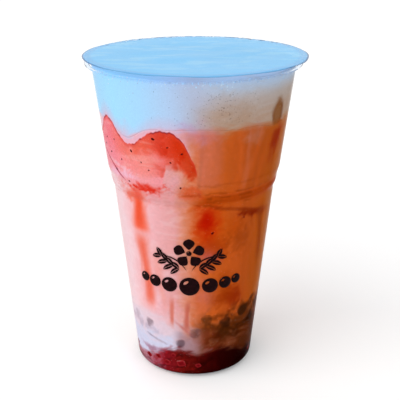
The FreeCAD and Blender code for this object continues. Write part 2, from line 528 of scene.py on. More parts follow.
for place in [(118, 80, 13, 8), (-146, 74, 14, 9), (160, 46, 12, 7), (-108, 40, 10, 6)]:
    SYRUP.append(blot("#D8481E", 0.75, *place, edge=1.1, rough=0.4))


# %% Field: the shoulder: painted shade along its rings, and syrup
PAINTED_RING_SHADE = [(97.2, 0.3), (93.2, 0.6), (91.4, 0.8), (89.6, 0.5), (87.6, 0.8)]  # height and strength
SHOULDER_MARKS = [
    blot("#E0562A", 0.9, -4.5, 93.8, 7, 3.8, edge=0.9, rough=0.35),
    blot("#A83A10", 0.5, -4, 92.6, 6, 0.7, edge=0.9, rough=0.5),
    blot("#F0787A", 0.45, -36, 95, 20, 7, rough=0.4),
    blot("#E6301E", 0.95, -31, 94.4, 14, 2.5, lean=0.05, edge=0.7, rough=0.5),
    # A painted reflection: a soft pale upright streak on the tea side, above the shoulder.
    trail("#DE9090", 0.22, 34, 123, 94, 2.6, sway=0.4, soft=10, edge=1.2),
]


def shoulder_marks(wall, colour):
    """Along the shoulder: a darker orange band on the tea side with a brighter orange line in it, a line of
    painted shade at each ring, brown on the tea side and dusky pink on the milky side, and the marks.
    """
    tea_side = smooth(apart(wall.degrees + 3 * wall.wisps, 0), -4, 8)
    tea_side *= smooth(apart(wall.degrees, 80), 10, -10)
    band = smooth(np.abs(wall.height - 90.4), 3.2, 1.2)
    colour = cover(colour, "#B64006", 0.7 * band * tea_side)
    # Painted shade: a line at each ring where the ring bends the view, brown on the tea side and dusky pink
    # on the milky side.
    for height, strength in PAINTED_RING_SHADE:
        line = smooth(np.abs(wall.height - height - 0.6 * wall.flat), 0.75, 0.15)
        line *= smooth(wall.wisps, -0.7, 0.2)
        colour = cover(colour, "#943606", 0.75 * strength * line * tea_side)
        colour = cover(colour, "#DC8A84", 0.55 * strength * line * (1 - tea_side))
    colour = cover(colour, "#D85A22", 0.5 * tea_side * smooth(np.abs(wall.height - 92.3), 0.7, 0.2))
    return wall.mark(colour, SHOULDER_MARKS)


# %% Field: the puree smear
UPPER_TONE = [
    (-80, "#F0828E"), (-60, "#F88088"), (-42, "#F4725E"), (-30, "#F05E48"), (-20, "#E84E3C"), (-9, "#DC3412"),
    (3, "#D04018"),
]
LOWER_TONE = [
    (-80, "#F0909A"), (-60, "#F88E98"), (-45, "#FC8E8C"), (-30, "#FA8A80"), (-18, "#F47A74"), (-8, "#E0482A"),
    (3, "#D24018"),
]
SMEAR_MARKS = [
    blot("#EAA4A6", 0.75, -12.5, 100, 4.8, 7.2, edge=0.9, rough=0.15),
    blot("#F8C2D4", 0.7, -53, 98.4, 13, 1.4, lean=0.02, edge=0.9, rough=0.6),
    blot("#F8C2CC", 0.6, -56, 102, 12, 0.9, lean=-0.12, edge=0.9, rough=0.6),
    blot("#A83440", 0.75, -61, 100.5, 13, 0.7, lean=-0.42, edge=0.8, rough=0.3),
    blot("#9C2204", 0.85, 59, 112, 6.5, 6.5, lean=0.4, edge=0.8),
]


def smear(wall, colour):
    """Puree under the edge curve: coral, reddest in its last lobe, pinker below, with a fine dark edge."""
    for places in (SMEAR_EDGE, BACK_SMEAR_EDGE):
        first, last = places[0][0], places[-1][0]
        middle = (first + last) / 2
        turned = middle + apart(wall.degrees, middle)
        depth = smear_top(turned, places) - wall.height
        ends = smooth(turned, first, first + 5) * smooth(turned, last, last - 1)
        place = turned - last + SMEAR_EDGE[-1][0]
        foot = np.interp(place, *np.array(SMEAR_FOOT, float).T)
        body = smooth(depth, -0.3, 0.3) * smooth(wall.height - foot + 1.2 * wall.wisps, -1.8, 1.8) * ends
        lower = smooth(wall.height + 2.5 * wall.wisps, 113, 105)
        tone = cover(stops(place, UPPER_TONE), stops(place, LOWER_TONE), lower)
        pale = 0.6 * smooth(wall.height + 2.0 * wall.flat, 103, 98) * smooth(place, -8, -20)
        red = 0.5 * smooth(wall.wisps + 0.3 * wall.flat, 0.1, 1.0) * smooth(place, -30, -12)
        tone = cover(cover(tone, "#F9AAB4", pale), "#CE2206", red)
        tone = cover(tone, "#FBB4AE", 0.3 * smooth(wall.flat, 0.1, 0.8) * smooth(place, -12, -30))
        tone = cover(tone, "#E0483E", 0.55 * smooth(depth, 2.4, 0.4))
        rim_line = 0.75 * smooth(depth, 0.75, 0.25) * smooth(wall.wisps, -0.5, 0.1) * smooth(place, 0, -7)
        tone = cover(tone, "#7A1218", rim_line)
        halo = 0.3 * smooth(depth, -8, -2) + 0.35 * smooth(depth, -2.6, -0.2)
        colour = cover(colour, "#EEB2C6", halo * ends * smooth(wall.height, 108, 114))
        colour = cover(colour, tone, body)
    return wall.mark(colour, SMEAR_MARKS)


# %% Field: the foam
# The foam is white: its blue on one side and its warm grey on the other are painted light, cool light and
# warm shade.
FOAM_LIGHT_ROUND = [
    (-180, "#BCC4D0"), (-120, "#B2D6F0"), (-75, "#B0DCF8"), (-50, "#ACE2FF"), (-30, "#B0DEFE"),
    (-12, "#BCD4F2"), (2, "#C0C4D8"), (14, "#C6BEC2"), (34, "#C8BCB8"), (60, "#C2B2A8"), (90, "#B8A89C"),
    (140, "#B4ACB0"), (180, "#BCC4D0"),
]
# A painted dark reflection in the plastic, an oval over the foam on the tea side.
FOAM_DARK_REFLECTION = [
    blot("#7A4422", 0.9, 57, 124.5, 6.2, 7.0, edge=0.4, rough=0.08),
    blot("#A06A40", 0.75, 56.6, 125, 4.6, 5.4, edge=0.6, rough=0.08),
]
FOAM_STAINS = [
    blot("#F2B4C4", 0.45, -44, 117, 7, 6),
    blot("#CC8CB4", 0.45, 2, 120.5, 12, 5),
    blot("#B08A6C", 0.3, 22, 128, 15, 9),
    blot("#C8908C", 0.35, 38, 118, 10, 5),
]


def foam(wall):
    """White foam in painted light: cool blue on one side, painted warm shade on the other, browner towards
    the tea below, and painted cool skylight again near the top.
    """
    colour = stops(wall.side, FOAM_LIGHT_ROUND)
    warm_shade_side = smooth(wall.side, -8, 16) * smooth(apart(wall.degrees, 120), 0, -60)
    # Painted skylight: the warm side turns cool again towards the top.
    colour = cover(colour, "#C2D6EE", 0.9 * warm_shade_side * smooth(wall.height, 133, 140.5))
    colour = cover(colour, "#C09A80", 0.8 * warm_shade_side * smooth(wall.height + 1.2 * wall.flat, 136, 124))
    colour = cover(colour, "#D0BCB0", 0.15 * warm_shade_side * smooth(wall.flat, 0.0, 0.9))
    return wall.mark(colour, FOAM_DARK_REFLECTION)


# %% Field: the puree on the base
# Darkest on the front's right, darker than round the back: partly painted shade.
PUREE_TONE_AND_SHADE_ROUND = [
    (-180, "#4A0A0C"), (-120, "#701418"), (-80, "#A8686E"), (-56, "#B4747E"), (-42, "#AE5C6C"),
    (-30, "#8A1620"), (-12, "#6C120E"), (4, "#560A06"), (20, "#340202"), (50, "#1E0201"), (90, "#2A0404"),
    (180, "#4A0A0C"),
]


def puree(wall):
    """Clouded pink where milk has run in, red, and nearly black on the front's right, which is partly painted
    shade; with redder flecks and darker mottling.
    """
    colour = stops(apart(wall.degrees + 5 * wall.wisps, 0), PUREE_TONE_AND_SHADE_ROUND)
    colour = cover(colour, "#A81E1E", 0.35 * smooth(wall.fine, 0.1, 0.8) * wall.within(-20, 40, 15))
    return cover(colour, "#140000", 0.35 * smooth(wall.flat, 0.0, 0.8))


# %% The whole wall
def wall_colours(degrees, height):
    """Every field in its place, as linear colours: puree at the bottom, foam at the top, tea between."""
    wall = Wall(degrees, height)
    colour = shoulder_marks(wall, wall.mark(lower_clouds(wall, tea(wall)), SYRUP))
    foam_edge = wall.height - meeting_height(foam_foot, wall.degrees, 120.0)
    blur = 1.0 + 1.8 * wall.within(40, 60, 20)
    colour = cover(colour, "#EDB8C2", 0.5 * smooth(foam_edge, -3.5, -0.5) * smooth(wall.side, 12, -10))
    colour = cover(colour, foam(wall), smooth(foam_edge + 0.8 * wall.flat, -blur, blur))
    colour = smear(wall, wall.mark(colour, FOAM_STAINS))
    puree_edge = wall.height - meeting_height(puree_top, wall.degrees, 12.0)
    colour = cover(colour, puree(wall), smooth(puree_edge + 0.9 * wall.flat + 0.5 * wall.wisps, 1.9, -1.7))
    return to_linear(colour)


# %% [markdown]
# ## Materials
# One helper adds a node, sets its plain values and makes its links, so that each material reads as a list.


# %% Helpers for nodes
def add(tree, kind, links=None, **settings):
    """Add a shader node. settings are properties or input values, links are inputs to the outputs that feed
    them. An input is named with underscores for spaces, or by an underscore and its number."""
    node = tree.nodes.new("ShaderNode" + kind)
    for name, value in settings.items():
        if hasattr(node, name):
            setattr(node, name, value)
        else:
            socket(node, name).default_value = value
    for name, output in (links or {}).items():
        tree.links.new(output, socket(node, name))
    return node


def socket(node, name):
    return node.inputs[int(name[1:])] if name[0] == "_" else node.inputs[name.replace("_", " ")]


def new_material(name):
    """A material with no nodes yet, and its node tree."""
    material = bpy.data.materials.new(name)
    material.use_nodes = True
    tree = material.node_tree
    tree.nodes.clear()
    return material, tree


def rgba(code):
    return (*to_linear(srgb(code)), 1.0)


def let_through(tree, surface, code):
    """Show a clear surface, but send the light of lamps and of the drink straight on, faintly tinted."""
    straight = add(tree, "BsdfTransparent", Color=rgba(code)).outputs[0]
    path = add(tree, "LightPath").outputs
    for ray in ("Is Shadow Ray", "Is Diffuse Ray"):
        surface = add(tree, "MixShader", {"_0": path[ray], "_1": surface, "_2": straight}).outputs[0]
    add(tree, "OutputMaterial", {"Surface": surface})


# %% [markdown]
# ### Clear thermoformed polypropylene
# A thermoformed sheet keeps a polished face but carries faint vertical draw waves from being stretched in
# the mould. Its index is about 1.49; here it is set lower, because the studio is white all round and the
# full index would lay a pale veil over the drink.


# %% Material: the cup
def clear_polypropylene():
    material, tree = new_material("clear_thermoformed_polypropylene")
    place = add(tree, "TexCoord").outputs["Object"]
    drawn = add(tree, "Mapping", {"Vector": place}, Scale=(1.0, 1.0, 0.12)).outputs[0]
    draw_waves = add(tree, "TexNoise", {"Vector": drawn}, Scale=1 / (7 * MM), Detail=2.0, Roughness=0.5)
    bump = add(tree, "Bump", {"Height": draw_waves.outputs["Fac"]}, Strength=0.25, Distance=0.25 * MM)
    # Above the neck the plastic is a little bluer: painted shade for the roll, which is seen edge on.
    height = add(tree, "SeparateXYZ", {"Vector": place}).outputs["Z"]
    below, above = (NECK_HEIGHT - 1) * MM, (NECK_HEIGHT + 1) * MM
    level = add(tree, "MapRange", {"Value": height}, From_Min=below, From_Max=above)
    tint = add(tree, "ValToRGB", {"Fac": level.outputs[0]})
    tint.color_ramp.elements[0].color, tint.color_ramp.elements[1].color = rgba("#F8FCFF"), rgba("#F2F8FF")
    links = {"Normal": bump.outputs[0], "Base_Color": tint.outputs[0]}
    plastic = add(tree, "BsdfPrincipled", links, Roughness=0.05, IOR=1.03, Transmission_Weight=1.0)
    let_through(tree, plastic.outputs[0], "#FAFCFF")
    return material


# %% [markdown]
# ### Heat-sealed film
# The film is a thin clear laminate. Over white foam, under an open sky, it reads as a pale blue sheet,
# mostly by reflection and haze. So it is a skin whose blue tint is painted sky reflection, that hides most
# of what is below, with long soft creases pulled in by the sealing head.


# %% Material: the film
def sealing_laminate():
    material, tree = new_material("heat_sealed_laminate_film")
    place = add(tree, "TexCoord").outputs["Object"]
    pulled = add(tree, "Mapping", {"Vector": place}, Scale=(0.35, 1.0, 1.0), Rotation=(0, 0, 0.5)).outputs[0]
    creases = add(tree, "TexNoise", {"Vector": pulled}, Scale=1 / (9 * MM), Detail=3.0, Distortion=0.6)
    bump = add(tree, "Bump", {"Height": creases.outputs["Fac"]}, Strength=0.3, Distance=0.4 * MM)
    painted = add(tree, "Attribute", attribute_name="shade")
    links = {"Normal": bump.outputs[0], "Base_Color": painted.outputs["Color"]}
    film = add(tree, "BsdfPrincipled", links, Roughness=0.25, IOR=1.5, Specular_IOR_Level=0.1, Alpha=0.8)
    let_through(tree, film.outputs[0], "#F6FAFF")
    return material


# %% [markdown]
# ### The fillings
# Milk tea, foam and puree lie against the plastic, so they have no shine of their own. Each takes its broad
# colours from the painted points and adds flecks that are too small to paint.


# %% Material: fillings
def filling(name, fleck_size, fleck_depth, roughness):
    material, tree = new_material(name)
    place = add(tree, "TexCoord").outputs["Object"]
    painted = add(tree, "Attribute", attribute_name="shade").outputs["Color"]
    flecks = add(tree, "TexNoise", {"Vector": place}, Scale=1 / (fleck_size * MM), Detail=3.0, Roughness=0.6)
    strength = dict(From_Min=0.25, From_Max=0.75, To_Min=1 - fleck_depth, To_Max=1 + fleck_depth)
    level = add(tree, "MapRange", {"Value": flecks.outputs["Fac"]}, **strength).outputs[0]
    shaded = add(tree, "VectorMath", {"_0": painted, "_1": level}, operation="MULTIPLY").outputs[0]
    bump = add(tree, "Bump", {"Height": flecks.outputs["Fac"]}, Strength=0.2, Distance=0.1 * MM).outputs[0]
    links = {"Base_Color": shaded, "Normal": bump}
    body = add(tree, "BsdfPrincipled", links, Roughness=roughness, IOR=1.35, Specular_IOR_Level=0.0)
    add(tree, "OutputMaterial", {"Surface": body.outputs[0]})
    return material


clear_plastic = clear_polypropylene()
film_plastic = sealing_laminate()
milk_tea_body = filling("strawberry_milk_tea", 1.6, 0.05, 0.45)
milk_foam_body = filling("whipped_milk_foam", 0.7, 0.05, 0.7)
puree_body = filling("cooked_strawberry_puree", 1.2, 0.25, 0.3)
puree_on_wall = filling("strained_puree_smear", 0.9, 0.1, 0.35)
pearl_starch = filling("boiled_tapioca_starch", 2.0, 0.12, 0.35)
seed_husk = filling("strawberry_seed_husk", 0.4, 0.2, 0.5)


# %% [markdown]
# ### Printing ink
# Screen ink is a thick dark film with a satin face, slightly uneven where the screen let more through.


# %% Material: ink
def printing_ink():
    material, tree = new_material("screen_printing_ink")
    place = add(tree, "TexCoord").outputs["Object"]
    uneven = add(tree, "TexNoise", {"Vector": place}, Scale=1 / (1.5 * MM), Detail=2.0)
    tint = add(tree, "ValToRGB", {"Fac": uneven.outputs["Fac"]})
    for stop, position, code in zip(tint.color_ramp.elements, (0.35, 0.7), ("#120405", "#22090C")):
        stop.position, stop.color = position, rgba(code)
    links = {"Base_Color": tint.outputs[0]}
    film = add(tree, "BsdfPrincipled", links, Roughness=0.35, IOR=1.5, Specular_IOR_Level=0.03)
    add(tree, "OutputMaterial", {"Surface": film.outputs[0]})
    return material


screen_ink = printing_ink()

# %% [markdown]
# ## The cup
# The wall is one closed shell: up the outside, round the roll, and down the inside, carried round the axis,
# on which both ends of the path lie.


# %% Piece: the cup
def carried_round(path, columns):
    """A profile carried round the axis: every point of the path at every angle."""
    degrees = np.arange(columns) * 360 / columns
    return on_cup(path[:, :1], degrees, path[:, 1:])


cup_skin = Heap()
cup_skin.put(carried_round(np.concatenate([outside, rim(), inside[::-1]]), 180))
cup = cup_skin.make("clear_cup", clear_plastic)
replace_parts(cup, "cup")

# %% [markdown]
# ## The fillings as bodies
# Each layer's skin is one grid again: from the middle of its underside out to the wall, up it, and back in
# over its top, with heights from the two surfaces that bound the layer.


# %% Pieces: foam, tea and puree
def layer_body(name, node, lower, upper, first_heights, columns, rows, material, slot):
    """A layer between two surfaces: rings out under it, rows up the wall, and rings in over its top."""
    degrees = np.arange(columns) * 360 / columns
    share = np.linspace(0, 1, rows)[:, None]
    if lower is base_inside:
        low, share = np.full(columns, inside[:, 1].min()), share**1.8
    else:
        low = meeting_height(lower, degrees, first_heights[0])
    high = meeting_height(upper, degrees, first_heights[1])
    height = low + (high - low) * share
    side = on_cup(wall_radius(height, INTO_WALL), degrees, height)
    reach = np.linspace(0, 1, 24, endpoint=False)[:, None]

    def cap(surface, edge_height):
        flat = on_cup(wall_radius(edge_height) * reach, degrees, 0)
        flat[..., 2] = surface(flat[..., 0], flat[..., 1])
        return flat

    grid = np.concatenate([cap(lower, low), side, cap(upper, high)[::-1]])
    body = Heap()
    body.put(grid, wall_colours(np.broadcast_to(degrees, grid.shape[:2]), grid[..., 2]))
    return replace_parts(body.make(name, material), node)


layer_body("foam_cap", "foam", foam_foot, foam_top, (120, 142), 360, 60, milk_foam_body, "milk_foam")
layer_body("milk_tea_body", "milk_tea", puree_top, foam_foot, (12, 120), 400, 190, milk_tea_body, "milk_tea")
base_layer = "puree_on_base", "fruit_puree", base_inside, puree_top
layer_body(*base_layer, (0.6, 12), 300, 40, puree_body, "fruit_puree")

# %% [markdown]
# ## Puree on the wall
# The smear under the foam is a closed shell of its own, a little deeper in the plastic than the tea, on a
# fine grid that keeps its edge sharp. It is painted with the same fields, so it melts into the tea as it
# thins out.


# %% Piece: the smears
SMEAR_BOTTOM = 92.0


def smear_shell(places, steps_per_degree=3, rows=84):
    """Columns from one end of the edge curve to the other, rows from the shoulder to just over the curve.
    Both faces sink into the tea towards the border, by a smooth step, and meet there."""
    first, last = places[0][0], places[-1][0]
    columns = int((last - first) * steps_per_degree)
    across, up = np.linspace(0, 1, columns), np.linspace(0, 1, rows)[:, None]
    degrees = first + 3 + (last - first - 2) * across
    tall = np.maximum(smear_top(degrees, places) + 0.9, SMEAR_BOTTOM + 0.8) - SMEAR_BOTTOM
    height = SMEAR_BOTTOM + tall * up
    lift = smooth(np.minimum(across, 1 - across), 0, 0.012) * smooth(tall * np.minimum(up, 1 - up), 0, 0.45)
    front = on_cup(wall_radius(height, INTO_WALL - 0.05 + 0.1 * lift), degrees, height)
    back = on_cup(wall_radius(height, INTO_WALL - 0.05 - 0.25 * lift), degrees, height)
    shades = wall_colours(np.broadcast_to(degrees, height.shape), height)
    return front, back, shades


smears = Heap()
for places in (SMEAR_EDGE, BACK_SMEAR_EDGE):
    front, back, shades = smear_shell(places)
    smears.put(front, shades, around=False)
    smears.put(back, shades, around=False, flip=True)
smears.make("puree_smears", puree_on_wall)

# %% [markdown]
# ## Seeds
# Strawberry seeds are flat drops about a millimetre long. They are pressed against the wall, most of them
# in the smear and a few that drifted lower, and lie at all angles.


# %% Piece: the seeds
def drop_on_wall(degrees, height, long, wide, turn, rows=7, columns=12):
    """A flat drop against the wall: an ellipsoid whose width tapers to one end, bent to the wall's curve."""
    polar = np.linspace(0, np.pi, rows)[:, None]
    around = np.arange(columns) * 2 * np.pi / columns
    along, out = long * np.cos(polar) + 0 * around, 0.12 * np.sin(polar) * np.sin(around)
    across = wide * np.sin(polar) * np.cos(around) * (1 - 0.35 * np.cos(polar))
    side, up = along * np.sin(turn) + across * np.cos(turn), along * np.cos(turn) - across * np.sin(turn)
    radius = wall_radius(height, INTO_WALL + 0.05)
    return on_cup(radius + out, degrees + np.degrees(side / radius), height + up)


FRONT_SEEDS = [
    (-23.5, 117.2, 0.85), (-40, 110.3, 0.75), (-6.5, 111.6, 0.6), (-66, 112.5, 0.6), (-55.5, 113, 0.5),
    (-50, 105, 0.5), (-33, 106, 0.45), (-13.5, 107.5, 0.5), (-62, 106.5, 0.6), (-28, 103, 0.45),
    (13.5, 74.6, 0.7), (-8, 96.4, 0.55), (-45.5, 95.8, 0.6), (-58, 99.3, 0.7), (-70, 109, 0.6), (21, 66, 0.4),
    (-15, 114, 0.45), (38, 79.6, 0.5),
]
random = np.random.default_rng(5)


def draw(count, *ranges):
    """Rows of random numbers, one from each range."""
    return [[random.uniform(*ends) for ends in ranges] for _ in range(count)]


BACK_SEEDS = draw(12, (132, 200), (98, 115), (0.45, 0.8)) + draw(10, (90, 260), (38, 92), (0.4, 0.65))
seeds = Heap()
for degrees, height, size in FRONT_SEEDS + BACK_SEEDS:
    drop = drop_on_wall(degrees, height, size, size * 0.62, random.uniform(0, np.pi))
    seeds.put(drop, to_linear(srgb("#5A1210")) * random.uniform(0.5, 1.4))
seeds.make("strawberry_seeds", seed_husk)

# %% [markdown]
# ## Pearls
# Tapioca pearls are dark, 6 to 9 mm across, and have sunk to the bottom. Milk hides all but those that
# touch the wall, and even there a thin veil of it lies over them. Each is a whole ball, pressed flat where
# it meets the plastic, and the flat cap carries the veil as a blend from the pearl's brown to the wall's
# own colours.


# %% Piece: the pearls
def round_the_wall(degrees, height, side, up):
    """Angle and height of a point that lies side and up, in mm, from another on the inside of the wall."""
    return degrees + np.degrees(side / wall_radius(height)), height + up


def pearl_on_wall(degrees, height, size, showing, tone, rows=16, columns=40):
    """A ball flattened by the wall: rings out over the flat cap, bent to the wall, then in behind it."""
    share = np.linspace(0, 1, rows)[:, None]
    around = np.arange(columns) * 2 * np.pi / columns
    wobble = 1 + 0.07 * np.sin(2 * around + degrees) + 0.05 * np.sin(3 * around + height)
    side, up = size * share * wobble * np.cos(around), size * share * wobble * np.sin(around)
    angle, level = round_the_wall(degrees, height, side, up)
    cap = on_cup(wall_radius(level, INTO_WALL) + 0.12 - 0.25 * share**3, angle, level)
    back = on_cup(wall_radius(level, INTO_WALL) - 0.13 - 1.6 * size * np.sqrt(1 - share**2), angle, level)
    uneven = 0.15 * waves(cap, 4.5, 77, 2)
    veil = smooth(share + uneven, 0.35, 0.98) * showing + (1 - showing)
    skin_tone = to_linear(srgb(tone)) * (1 + 0.3 * waves(cap, 3.0, 91, 2)[..., None])
    shades = skin_tone * (1 - veil[..., None]) + wall_colours(angle, level) * veil[..., None]
    return np.concatenate([cap, back[::-1]]), np.concatenate([shades, shades[::-1]])


FRONT_PEARLS = [  # degrees, height, radius, how much shows, colour
    (11, 31, 3.6, 0.7, "#3E2410"), (29, 29, 4.3, 0.8, "#34180A"), (47, 32, 4.2, 0.75, "#3A1C0A"),
    (60, 26, 4.4, 0.9, "#2C1004"), (20, 21.5, 3.8, 0.5, "#4A1204"), (70, 31, 4.0, 0.7, "#321406"),
    (41, 21, 3.4, 0.35, "#3C1606"), (36, 36, 3.0, 0.3, "#5A2C12"), (-44, 26.2, 3.4, 0.6, "#6A5060"),
    (-12.5, 18.6, 3.0, 0.75, "#5C404A"), (1, 24.3, 3.6, 0.6, "#5E3C40"), (-62, 27, 3.4, 0.3, "#7A6070"),
]
BACK_PLACES = (84, 99, 108, 131, 143, 170, 184, 193, 221, 238, 249, 274)
BACK_SIZES = draw(len(BACK_PLACES), (-6, 6), (15, 34), (2.8, 4.4), (0.15, 0.85))
BACK_PEARLS = [(place + shift, *sizes, "#40200F") for place, (shift, *sizes) in zip(BACK_PLACES, BACK_SIZES)]
pearls = Heap()
for pearl in FRONT_PEARLS + BACK_PEARLS:
    pearls.put(*pearl_on_wall(*pearl), flip=True)
pearls.make("tapioca_pearls", pearl_starch)

# %% [markdown]
# ## Jelly in the puree
# Small soft cubes of fruit jelly lie in the puree. They show as rounded patches, a clearer red than the
# puree, with a painted highlight along the upper edge.


# %% Piece: the jelly
def cube_on_wall(degrees, height, size, turn, glint, rows=10, columns=32):
    """A rounded square pressed to the wall: rings shaped as a superellipse, then a soft block behind."""
    share = np.linspace(0, 1, rows)[:, None]
    around = np.arange(columns) * 2 * np.pi / columns
    square = (np.abs(np.cos(around)) ** 5 + np.abs(np.sin(around)) ** 5) ** (-1 / 5)
    side = size * share * square * np.cos(around + turn)
    up = 0.8 * size * share * square * np.sin(around + turn)
    angle, level = round_the_wall(degrees, height, side, up)
    level = np.maximum(level, PUSH_UP[1])
    cap = on_cup(wall_radius(level, INTO_WALL) + 0.12 - 0.2 * share**4, angle, level)
    back = on_cup(wall_radius(level, INTO_WALL) - 0.08 - 1.5 * size * (1 - share**4), angle, level)
    # Painted highlight along the upper edge, as strong as glint.
    painted_highlight_edge = smooth(share, 0.7, 0.95) * smooth(np.sin(around + turn) + 0.3 * np.cos(3 * around), 0.5, 1.0)
    shades = cover(srgb("#780E14") + 0 * cap, srgb("#9A2024"), smooth(share, 0.3, 0.9) + 0 * around)
    shades = to_linear(cover(shades, srgb("#F0B8B0"), glint * painted_highlight_edge * smooth(share, 1.0, 0.9)))
    return np.concatenate([cap, back[::-1]]), np.concatenate([shades, shades[::-1]])


jelly = Heap()
FRONT_JELLY = [  # degrees, height, size, turn, glint
    (-12.5, 7.6, 2.2, 0.3, 0.8), (-27, 7.2, 1.6, 1.0, 0.3), (-37, 9.0, 1.5, 0.2, 0.4),
    (-50, 7.5, 1.7, 0.8, 0.3), (4, 6.8, 1.4, 0.5, 0.2), (-20, 11.5, 1.3, 0.7, 0.3),
]
BACK_JELLY = draw(9, (70, 290), (6.5, 9.5), (1.3, 2.0), (0, 1.5), (0.1, 0.5))
for cube in FRONT_JELLY + BACK_JELLY:
    jelly.put(*cube_on_wall(*cube), flip=True)
jelly.make("fruit_jelly", puree_body)

# %% [markdown]
# ## Bubbles
# Most bubbles in the foam are too small to see, but a band of larger ones gathers where its top meets the
# wall, and single ones stick to the plastic below. Each is a shallow dome of a few faces.


# %% Piece: the bubbles
def dome_on_wall(degrees, height, size, columns=9):
    """A shallow dome against the wall: rings out over it, then back to the middle underneath."""
    share, lift = np.array([[0, 0.35, 0.7, 1, 0], [0.12, 0.1, 0.04, -0.04, -0.05]])[..., None]
    around = np.arange(columns) * 2 * np.pi / columns
    side, up = size * share * np.cos(around), size * share * np.sin(around)
    angle, level = round_the_wall(degrees, height, side, up)
    return on_cup(wall_radius(level, INTO_WALL) + lift, angle, level)


bubbles = Heap()
for _ in range(700):
    degrees = random.uniform(-180, 180)
    place = on_cup(NECK_RADIUS, degrees, 0)
    height = foam_top(place[0], place[1]) - 0.3 - random.exponential(0.9)
    pale = to_linear(srgb(random.choice(["#C4E2FA", "#D4E4F2", "#B4CCE6"])))
    bubbles.put(dome_on_wall(degrees, height, random.uniform(0.12, 0.42)), pale, flip=True)
turned = [random.normal(14, 14, 240), random.normal(165, 20, 120), random.uniform(-180, 180, 160)]
scattered = np.concatenate(turned), random.uniform(123, 138, 520)
for degrees, height, here in zip(*scattered, wall_colours(*scattered)):
    dome = dome_on_wall(degrees, height, random.uniform(0.1, 0.28))
    bubbles.put(dome, here * random.choice([0.62, 0.78, 1.15]), flip=True)
bubbles.make("foam_bubbles", milk_foam_body)

# %% [markdown]
# ## The print
# The cup carries a plain ornament in one dark ink: a blossom between two sprigs of leaves, over a row of
# round beads that grow towards the middle. Each shape is drawn flat in millimetres and laid round the wall.

# %% Shapes of the print
PRINT_MIDDLE = -3.5  # degrees
BLOSSOM, STALK_FOOT, STALK_TIP = np.array([0, 65.2]), np.array([1.0, 56.4]), np.array([13.2, 63.4])
STALK_SAG = 1.6 * 4 * 0.55
LEAVES = [(0.28, 34, 5.0), (0.5, 42, 5.4), (0.72, 52, 5.0), (0.95, 62, 4.4)]  # share of stalk, lift, length
BEADS = [(-21.6, 2.3), (-16.1, 2.9), (-9.1, 3.6), (0, 4.5), (9.1, 3.6), (16.1, 2.9), (21.6, 2.3)]
ink_shapes = Heap()


def ink(across, up):
    """Lay a grid of flat places, in mm across and up from the cup's foot, round the outside of the wall."""
    place = on_cup(outer_radius(up) + 0.04, PRINT_MIDDLE + np.degrees(across / outer_radius(up)), up)
    ink_shapes.put(place, around=False, flip=True)


def leaf(start, end, half_width, bend, blunt=1.0, rib=0.0):
    """A leaf along a curved line: its half width swells as a sine and falls to nothing at the tip. A blunt
    leaf keeps its width longer. With a rib, it is two halves with a bare line between."""
    share = np.linspace(0, 1, 15)[:, None]
    start, end = np.array(start, float), np.array(end, float)
    square = np.array([start[1] - end[1], end[0] - start[0]])
    line = start + (end - start) * share + square * bend * 4 * share * (1 - share)
    width = half_width * np.sin(np.pi * share**blunt) ** 0.75
    normal = square / np.linalg.norm(square)
    for low, high in ((-1.0, -rib), (rib, 1.0)):
        place = np.linspace(low, high, 5)
        beside_rib = np.minimum(rib * half_width, 0.9 * width) * np.sign(place)
        offset = np.where(np.abs(place) <= rib, beside_rib, place * width)
        ink(line[:, :1] + normal[0] * offset, line[:, 1:] + normal[1] * offset)


def bead(across, up, radius):
    """A disc with a small slanting oval left bare as a highlight: rings from the oval out to the circle."""
    turn, tilt = np.linspace(0, 2 * np.pi, 41), math.radians(35)
    long, short = 0.30 * radius * np.cos(turn), 0.15 * radius * np.sin(turn)
    hole_across = -0.34 * radius + long * np.cos(tilt) - short * np.sin(tilt)
    hole_up = 0.4 * radius + long * np.sin(tilt) + short * np.cos(tilt)
    share = np.linspace(0, 1, 5)[:, None]
    ink(
        across + (hole_across * (1 - share) + radius * np.cos(turn + tilt) * share),
        up + (hole_up * (1 - share) + radius * np.sin(turn + tilt) * share),
    )


# %% Piece: the print
for place, size in BEADS:
    bead(place, 48.8 + 0.0035 * place**2, size)
for k in range(5):
    turn = math.radians(90 + 72 * k)
    way = np.array([math.cos(turn), math.sin(turn)])
    leaf(BLOSSOM + 1.7 * way, BLOSSOM + 7.0 * way, 2.5, 0.0, blunt=1.35)
bead(*BLOSSOM, 1.15)
for way in (-1, 1):
    sides = np.array([way, 1])
    leaf(STALK_FOOT * sides, STALK_TIP * sides, 0.32, way * 0.16)
    for share, lift, long in LEAVES:
        foot = (STALK_FOOT + (STALK_TIP - STALK_FOOT) * share) * sides
        foot[1] -= STALK_SAG * share * (1 - share)
        for side_turn in (lift, lift - 72):
            turn = math.radians(side_turn)
            tip = foot + long * np.array([math.cos(turn), math.sin(turn)]) * sides
            leaf(foot, tip, 1.15, 0.06 * way, blunt=0.9, rib=0.12)
ornament = ink_shapes.make("printed_ornament", screen_ink)
ink_film = ornament.modifiers.new("ink_film", "SOLIDIFY")
ink_film.thickness, ink_film.offset = 0.03 * MM, -1.0

# %% [markdown]
# ## The film
# The sealing head presses a sheet on to the rim and a knife cuts it a little wider, slightly off centre. Its
# edge is uneven and droops. Inside the rim the sheet sags by less than a millimetre, in a few long waves.


